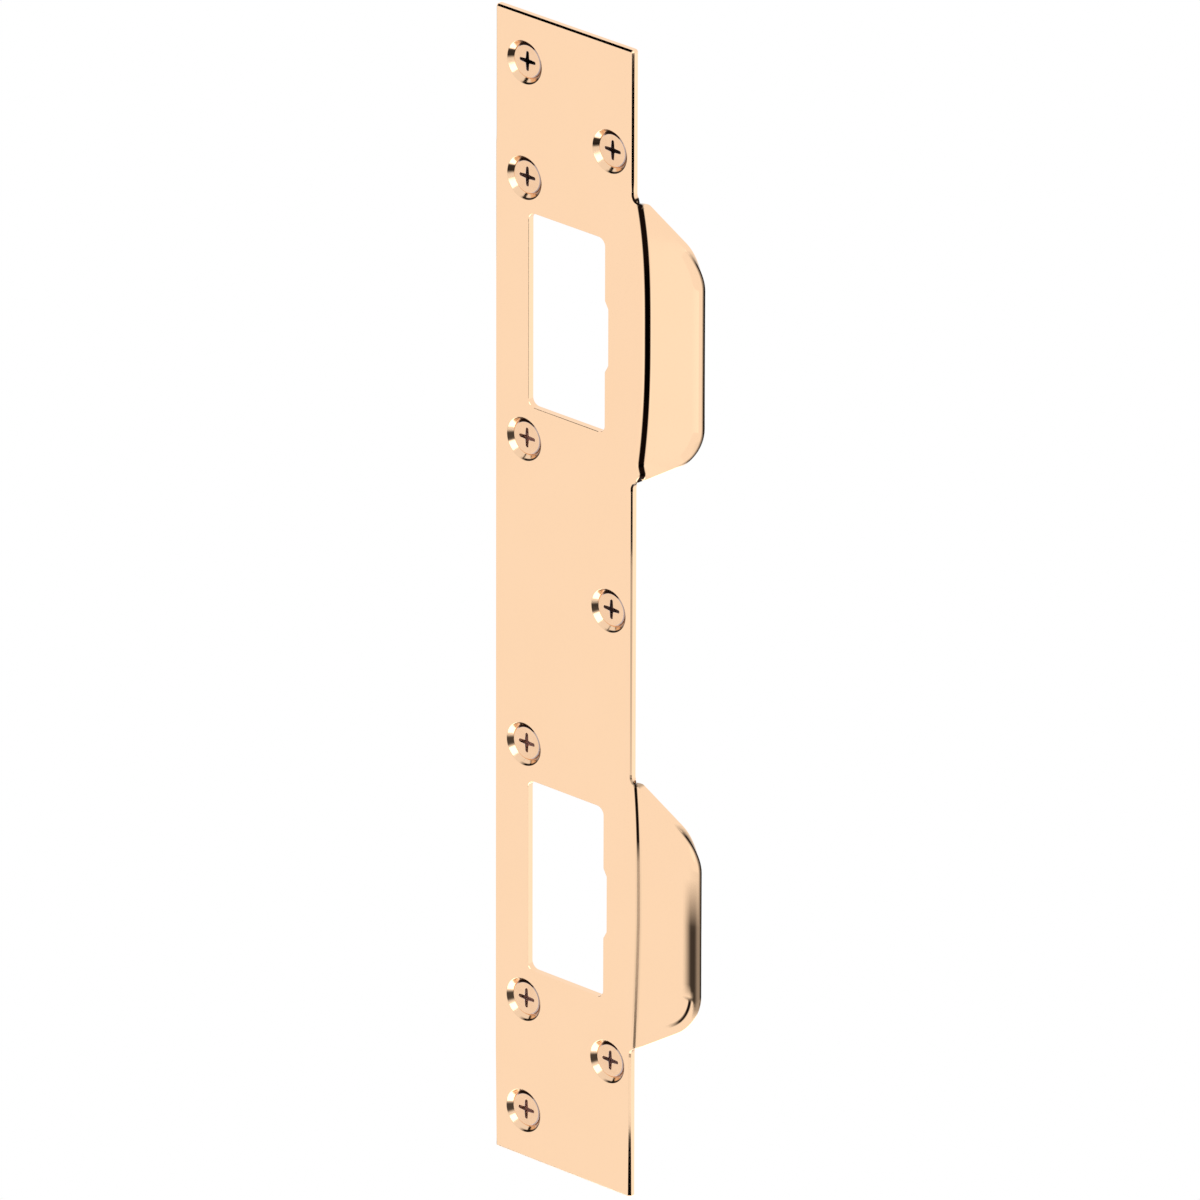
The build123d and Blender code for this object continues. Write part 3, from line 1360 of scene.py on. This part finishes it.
@dataclass(frozen=True)
class Thread:
    """Rolled wood-screw thread that thins to a point. Sizes in mm."""

    outer_d: float = 4.1
    pitch: float = 1.41
    crest_half: float = 0.28
    run_in: float = 0.12
    tip_length: float = 2.9
    tip_power: float = 1.3
    tip_loss: float = 0.55
    tip_fade: float = 0.35
    rows: int = 110
    angle_step: float = 0.02
    depth_step: float = 0.01
    least_r: float = 0.05

    def radius(self, angle: float, depth: float, start: float, end: float, core_d: float) -> float:
        """The thread's radius, which rises and falls along a helix.

        Args:
            angle: in radians.
            depth: depth of the place.
            start: depth at which the thread starts.
            end: depth of the point.
            core_d: the core's diameter.

        Returns:
            The radius.
        """
        along = (depth - start) / (end - start)
        tip = max(0.0, depth - (end - self.tip_length)) / self.tip_length
        core = core_d / 2 * (1 - tip ** self.tip_power)
        wave = ((depth - start) / self.pitch - angle / (2 * math.pi)) % 1.0
        crest = max(0.0, 1 - abs(wave - 0.5) / self.crest_half)
        fade = min(1.0, along / self.run_in) * min(1.0, (1 - tip) / self.tip_fade)
        height = (self.outer_d - core_d) / 2 * crest
        return max(0.0, core + height * fade * (1 - self.tip_loss * tip))

    def build(self, shell: Shell, start: float, end: float, core_d: float, steps: int) -> None:
        """Adds the thread as one surface.

        Args:
            shell: the mesh to add to.
            start: depth at which it starts.
            end: depth of the point.
            core_d: the core's diameter.
            steps: how many vertices go round.
        """
        da, dd = self.angle_step, self.depth_step
        grid = []
        for j in range(self.rows + 1):
            depth = start + (end - start) * j / self.rows
            low, high = max(start, depth - dd), min(end, depth + dd)
            row = []
            for a, c, s in circle(steps):
                r, left, right, above, below = (
                    self.radius(angle, at, start, end, core_d)
                    for angle, at in ((a, depth), (a - da, depth), (a + da, depth),
                                      (a, low), (a, high)))
                slope_a = (right - left) / (2 * da)
                slope_d = (below - above) / (high - low)
                normal = (Vector((c, 0, s)) - Vector((-s, 0, c)) * (slope_a / max(r, self.least_r))
                          + FRONT * slope_d)
                row.append(shell.add(Vector((r * c, depth, r * s)), normal))
            grid.append(row)
        shell.skin(grid)


@dataclass
class FlatHeadScrew:
    """Number 8 flat-head screw with a cross recess. Sizes in mm, angles in degrees.

    The painted shade lines along the head's edge each have a span and a level. The painted shade in
    the recesses is as dark as recess_levels says, in the order of the seats.
    """

    head_d: float = 8.08
    head_edge: float = 0.27
    head_edge_r: float = 0.22
    edge_steps: int = 5
    cone_angle: float = 82.0
    neck_d: float = 3.1
    length: float = 7.95
    steps: int = 72
    # cross recess
    recess_d: float = 4.7
    recess_wing: float = 0.95
    recess_depth: float = 2.1
    recess_bottom_d: float = 2.0
    recess_bottom_wing: float = 0.5
    wing_taper: float = 0.7
    wing_round: float = 0.7
    inner_round: float = 0.28
    recess_turn: float = 30.0
    recess_roll: float = 0.12
    recess_roll_steps: int = 4
    recess_lean: float = 0.35
    # painted shade in the recess, deepest at its middle, and along the head's edge
    recess_shade_r: float = 2.9
    recess_shade_fade: float = 1.4
    edge_line: float = 0.04
    edge_line_fade: float = 0.1
    edge_lines: tuple[tuple[Span, float], ...] = (
        ((92.0, 32.0, 18.0), 1.0), ((20.0, 70.0, 30.0), 0.7))
    recess_levels: tuple[float, ...] = (1.0, 0.75, 0.5, 0.5, 0.55, 0.5, 0.85, 0.75, 0.6)
    thread: Thread = Thread()

    def cross(self, span: float, wing: float) -> list[Point2]:
        """Draws a recess, with wings that narrow to rounded ends, and rounded inner corners.

        Args:
            span: from the end of one wing to the end of the opposite one.
            wing: a wing's width at its root.

        Returns:
            The outline, anticlockwise.
        """
        a, b = span / 2, wing / 2
        t = b * self.wing_taper
        corners = [(a, -t), (a, t), (b, b), (t, a), (-t, a), (-b, b), (-a, t), (-a, -t),
                   (-b, -b), (-t, -a), (t, -a), (b, -b)]
        end = t * self.wing_round
        return rounded(corners, [end, end, wing * self.inner_round] * 4, self.recess_turn)

    def edge_level(self, angle: float) -> float:
        """How dark the painted shade along the head's edge is at an angle in radians, from 0 to 1.
        """
        return max(level * window(angle, *span) for span, level in self.edge_lines)

    def head(self, shell: Shell, painted_darkness: float) -> None:
        """Adds the head's flat top with its recess. Y is the depth below the top.

        Args:
            shell: the mesh to add to.
            painted_darkness: how dark the painted shade inside the recess is, from 0 to 1.
        """
        outer = self.head_d / 2 - self.head_edge_r
        inner = outer - self.edge_line
        rim_r = inner - self.edge_line_fade
        # a painted shade line along the head's edge, on the flat top
        shell.skin([[shell.add(Vector((r * c, 0, r * s)), FRONT, level * self.edge_level(a))
                     for a, c, s in circle(self.steps)]
                    for r, level in ((outer, 1.0), (inner, 1.0), (rim_r, 0.0))])
        mouth = self.cross(self.recess_d, self.recess_wing)
        away = []
        for i in range(len(mouth)):
            along = Vector(mouth[(i + 1) % len(mouth)]) - Vector(mouth[i - 1])
            away.append(Vector((along.y, -along.x)).normalized())
        # the recess, with painted shade that deepens towards its middle
        rows, lines = [], []
        for k in range(self.recess_roll_steps + 1):
            a = math.pi / 2 * k / self.recess_roll_steps
            grow, depth = self.recess_roll * (1 - math.sin(a)), self.recess_roll * (1 - math.cos(a))
            line = [(x + out.x * grow, z + out.y * grow) for (x, z), out in zip(mouth, away)]
            rows.append([shell.add(
                Vector((x, depth, z)),
                Vector((-out.x * math.sin(a), -math.cos(a), -out.y * math.sin(a))),
                painted_darkness * falling(math.hypot(x, z), self.recess_shade_r, self.recess_shade_fade) * math.sin(a))
                for (x, z), out in zip(line, away)])
            lines.append(line)
        floor = self.cross(self.recess_bottom_d, self.recess_bottom_wing)
        rows.append([shell.add(Vector((x, self.recess_depth, z)),
                               Vector((-out.x, -self.recess_lean, -out.y)), painted_darkness)
                     for (x, z), out in zip(floor, away)])
        shell.skin(rows)
        rim = [(rim_r * c, rim_r * s) for _, c, s in circle(self.steps)]
        shell.cover([rim, lines[0]], [], lambda p: (Vector((p[0], 0.0, p[1])), FRONT, 0.0))
        shell.cover([floor], [],
                    lambda p: (Vector((p[0], self.recess_depth, p[1])), FRONT, painted_darkness))

    def shank(self, shell: Shell) -> None:
        """Adds the head's rolled edge and cone, the neck and the thread.

        Args:
            shell: the mesh to add to.
        """
        half = math.radians(self.cone_angle / 2)
        head_r, r = self.head_d / 2, self.head_edge_r
        cone_end = self.head_edge + (self.head_d - self.neck_d) / 2 / math.tan(half)
        turns = [math.pi / 2 * k / self.edge_steps for k in range(self.edge_steps + 1)]
        section = [(head_r - r + r * math.sin(a), r * (1 - math.cos(a)), math.sin(a), -math.cos(a))
                   for a in turns]
        section += [(head_r, self.head_edge, 1.0, 0.0),
                    (head_r, self.head_edge, math.cos(half), math.sin(half)),
                    (self.neck_d / 2, cone_end, math.cos(half), math.sin(half))]
        last = len(section) - 1
        # the rolled edge carries the painted shade line as well
        shell.turned(section, (0.0, 0.0, 0.0), self.steps,
                     lambda number, a: self.edge_level(a) if number < last else 0.0)
        self.thread.build(shell, cone_end, self.length, self.neck_d, self.steps)

    def build(self, places: Sequence[Point2], top_y: float,
              plating: bpy.types.Material) -> list[bpy.types.Object]:
        """Makes one screw in each place.

        Args:
            places: the screws' centres on the plate.
            top_y: where the heads' flat tops lie.
            plating: their finish.

        Returns:
            The screws.
        """
        made = []
        for number, ((x, z), painted_darkness) in enumerate(zip(places, self.recess_levels), 1):
            shell = Shell()
            self.head(shell, painted_darkness)
            self.shank(shell)
            shift = Vector((x, top_y, z))
            shell.points = [p + shift for p in shell.points]
            piece = shell.build(f"mounting_screw_{number}", plating)
            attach(piece, "root")
            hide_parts("mounting_screws")
            made.append(piece)
            log.info("mounting screw %d: %d faces", number, len(piece.data.polygons))
        return made


@dataclass(frozen=True)
class Card:
    """A curved studio card that only the polished metal sees. Metres and degrees.

    Azimuths and elevations are directions from a point at a height on the plate's middle line.
    Each shade is a level of white, for the corners low left, low right, high left, high right.
    """

    name: str
    azimuths: Pair
    elevations: Pair
    shades: tuple[float, float, float, float] = (0.0, 0.0, 0.0, 0.0)
    height: float = 0.0
    distance: float = 0.5
    steps: int = 16

    def mesh(self) -> bpy.types.Mesh:
        """Makes the card's mesh, whose level attribute holds its shades.

        Returns:
            The mesh.
        """
        low_left, low_right, high_left, high_right = self.shades
        (left, right), (bottom, top) = self.azimuths, self.elevations
        points, levels = [], []
        for j in range(self.steps + 1):
            v = j / self.steps
            for i in range(self.steps + 1):
                u = i / self.steps
                away = direction(left + (right - left) * u, bottom + (top - bottom) * v)
                points.append(Vector((0, 0, self.height)) + away * self.distance)
                low = low_left + (low_right - low_left) * u
                high = high_left + (high_right - high_left) * u
                levels.append(low + (high - low) * v)
        row = self.steps + 1
        faces = [(j * row + i, j * row + i + 1, (j + 1) * row + i + 1, (j + 1) * row + i)
                 for j in range(self.steps) for i in range(self.steps)]
        mesh = bpy.data.meshes.new(self.name)
        mesh.from_pydata(points, [], faces)
        mesh.attributes.new("level", "FLOAT", "POINT").data.foreach_set("value", levels)
        return mesh

    def build(self) -> bpy.types.Object:
        """Makes the card.

        Returns:
            The card, hidden from all but the metal's reflections.
        """
        mesh = self.mesh()
        material = new_material(self.name)
        tree = material.node_tree
        shade = add_node(tree, "ShaderNodeAttribute", {"attribute_name": "level"})
        glow = add_node(tree, "ShaderNodeEmission", Strength=shade.outputs["Fac"])
        add_node(tree, "ShaderNodeOutputMaterial", Surface=glow.outputs["Emission"])
        mesh.materials.append(material)
        card = put_in_scene(self.name, mesh)
        card.visible_camera = card.visible_diffuse = card.visible_shadow = False
        card.visible_transmission = card.visible_volume_scatter = False
        card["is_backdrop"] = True
        return card


def side_card(name: str, azimuths: Pair, heights: Pair,
              shades: tuple[float, float, float, float] = (0.0, 0.0, 0.0, 0.0),
              distance: float = 0.5) -> Card:
    """A card that upright edges mirror to the camera between two heights on the plate.

    Args:
        name: the card's name.
        azimuths: its left and right end.
        heights: the lowest and the highest part of the plate that mirrors it.
        shades: levels of white at its corners.
        distance: how far it stands from the plate.

    Returns:
        The card.
    """
    middle, half = (heights[0] + heights[1]) / 2, (heights[1] - heights[0]) / 2
    down = View.elevation
    spread = math.degrees(math.asin(half * math.cos(math.radians(down)) / distance))
    return Card(name, azimuths, (-down - spread, -down + spread), shades, middle, distance)


@dataclass(frozen=True)
class Lamp:
    """A soft square lamp that looks at the middle of the plate. Metres and watts."""

    name: str
    place: tuple[float, float, float]
    size: float
    power: float

    def build(self) -> bpy.types.Object:
        """Makes the lamp.

        Returns:
            The lamp, hidden from the metal's reflections.
        """
        light = bpy.data.lights.new(self.name, "AREA")
        light.size, light.energy = self.size, self.power
        lamp = put_in_scene(self.name, light)
        lamp.location = self.place
        lamp.rotation_euler = Vector(self.place).to_track_quat("Z", "Y").to_euler()
        lamp.visible_glossy = False
        return lamp


@dataclass(frozen=True)
class Studio:
    """Pale floor, white surroundings, soft lamps and the cards. Sizes in metres."""

    floor_drop: float = 0.7
    floor_size: float = 60.0
    floor_shade: str = "#F7F7F7"
    white: str = "#FFFFFF"
    plain_level: float = 0.8
    seen_level: float = 1.0
    lamps: tuple[Lamp, ...] = (Lamp("key", (0.9, -1.2, 1.4), 1.0, 14.0),
                               Lamp("fill", (-1.2, -0.8, 0.9), 1.2, 7.0))

    @staticmethod
    def seen_by(tree: bpy.types.NodeTree, *rays: str) -> bpy.types.NodeSocket:
        """Adds nodes that tell some kinds of rays from the others.

        Args:
            tree: the node tree that gets them.
            rays: the kinds, as the light path names them.

        Returns:
            A socket that is 1 for those kinds and 0 for the others.
        """
        path = add_node(tree, "ShaderNodeLightPath")
        level = path.outputs[rays[0]]
        for ray in rays[1:]:
            level = add_node(tree, "ShaderNodeMath", {"operation": "MAXIMUM"}, i0=level,
                             i1=path.outputs[ray]).outputs[0]
        return level

    def surroundings(self) -> None:
        """Sets a world that is white to the camera and to metal, and a plain level otherwise."""
        world = bpy.data.worlds.new("white_studio")
        bpy.context.scene.world = world
        world.use_nodes = True
        tree = world.node_tree
        tree.nodes.clear()
        seen = self.seen_by(tree, "Is Camera Ray", "Is Glossy Ray", "Is Transmission Ray")
        plain = add_node(tree, "ShaderNodeBackground", Color=linear(self.white),
                         Strength=self.plain_level)
        white = add_node(tree, "ShaderNodeBackground", Color=linear(self.white),
                         Strength=self.seen_level)
        mixed = add_node(tree, "ShaderNodeMixShader", i0=seen, i1=plain.outputs[0],
                         i2=white.outputs[0])
        add_node(tree, "ShaderNodeOutputWorld", Surface=mixed.outputs[0])

    def floor(self) -> bpy.types.Object:
        """Makes the floor, white from above and clear from below.

        Returns:
            The floor.
        """
        material = new_material("pale_floor_painted")
        tree = material.node_tree
        seen = self.seen_by(tree, "Is Camera Ray", "Is Glossy Ray")
        paint = add_node(tree, "ShaderNodeBsdfDiffuse", Color=linear(self.floor_shade))
        lift = add_node(tree, "ShaderNodeEmission", Color=linear(self.white),
                        Strength=self.seen_level)
        mixed = add_node(tree, "ShaderNodeMixShader", i0=seen, i1=paint.outputs[0],
                         i2=lift.outputs[0])
        side = add_node(tree, "ShaderNodeNewGeometry").outputs["Backfacing"]
        clear = add_node(tree, "ShaderNodeBsdfTransparent")
        both = add_node(tree, "ShaderNodeMixShader", i0=side, i1=mixed.outputs[0],
                        i2=clear.outputs[0])
        add_node(tree, "ShaderNodeOutputMaterial", Surface=both.outputs[0])
        low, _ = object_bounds()
        half, z = self.floor_size / 2, low.z - self.floor_drop
        mesh = bpy.data.meshes.new("floor")
        mesh.from_pydata([(-half, -half, z), (half, -half, z), (half, half, z), (-half, half, z)],
                         [], [(0, 1, 2, 3)])
        mesh.materials.append(material)
        piece = put_in_scene("floor", mesh)
        piece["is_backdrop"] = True
        return piece

    def build(self, cards: Sequence[Card]) -> None:
        """Makes the studio.

        Args:
            cards: the cards that stand in it.
        """
        self.surroundings()
        self.floor()
        for part in (*self.lamps, *cards):
            part.build()
            log.info("studio: %s", part.name)


@dataclass(frozen=True)
class View:
    """The photograph's camera. Angles in degrees, lengths in mm, focal length in pixels."""

    azimuth: float = 41.88
    elevation: float = 24.2
    roll: float = 0.15
    distance: float = 5000.0
    focal_px: float = 22250.0
    image_px: float = 1200.0
    sensor: float = 36.0
    clip_m: Pair = (0.1, 200.0)
    aim: tuple[float, float, float] = (11.21, -1.6, 4.98)

    def build(self) -> bpy.types.Object:
        """Makes the scene's camera.

        Returns:
            The camera.
        """
        data = bpy.data.cameras.new("camera")
        data.sensor_width = self.sensor
        data.lens = self.focal_px / self.image_px * self.sensor
        data.clip_start, data.clip_end = self.clip_m
        camera = put_in_scene("camera", data)
        back = direction(self.azimuth, self.elevation)
        turn = back.to_track_quat("Z", "Y").to_matrix().to_4x4()
        roll = Euler((0, 0, math.radians(self.roll))).to_matrix().to_4x4()
        place = Matrix.Translation((Vector(self.aim) + back * self.distance) * MM)
        camera.matrix_world = place @ turn @ roll
        bpy.context.scene.camera = camera
        return camera


# Dark cards give the metal its dark lines and edges, and those named bright lift its highlights.
CARDS: tuple[Card, ...] = (
    side_card("side_card_upper", (57, 74), (0.028, 0.165)),
    side_card("side_card_middle", (57, 74), (-0.035, 0.028), (0.75, 0.75, 0.45, 0.45)),
    side_card("side_card_lower", (61, 80), (-0.110, -0.035)),
    side_card("side_card_foot", (57, 74), (-0.160, -0.129)),
    side_card("front_card", (-22, 50), (-0.125, -0.040), (0.97, 0.75, 1.0, 0.9)),
    side_card("bright_upper_card", (-36.5, 26), (0.030, 0.112), (1.05, 1.14, 1.05, 1.14), 0.6),
    Card("top_card", (-78, -52), (41, 54), height=0.125),
    Card("left_card", (-100, -62), (-14, 20)),
    Card("left_low_card", (-90, -52), (-60, -36), height=-0.03),
    Card("bright_floor_card", (0, 360), (-90, -50), (2.4, 2.4, 2.4, 2.4), distance=0.6),
    Card("bright_key_card", (26, 51), (12, 48), (2.4, 2.4, 2.4, 2.4), distance=0.7),
    Card("bright_back_card", (118, 158), (-45, -8), (1.12, 1.12, 1.12, 1.12), distance=0.6),
)


def main() -> None:
    """Builds the plate, the screws, the camera and the studio."""
    logging.basicConfig(level=logging.INFO, format="%(name)s: %(message)s")
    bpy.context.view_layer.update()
    plate = StrikePlate()
    brass = PolishedBrass().build()
    plating = PlatedScrew().build()
    plate.build(brass)
    screw = FlatHeadScrew()
    top_y = plate.seat.depth_at(plate.seat.head_d) - screw.head_edge - plate.thickness
    screw.build(plate.seat_places, top_y, plating)
    View().build()
    Studio().build(CARDS)
    bpy.context.scene.view_settings.view_transform = "Standard"


if __name__ == "__main__":
    main()
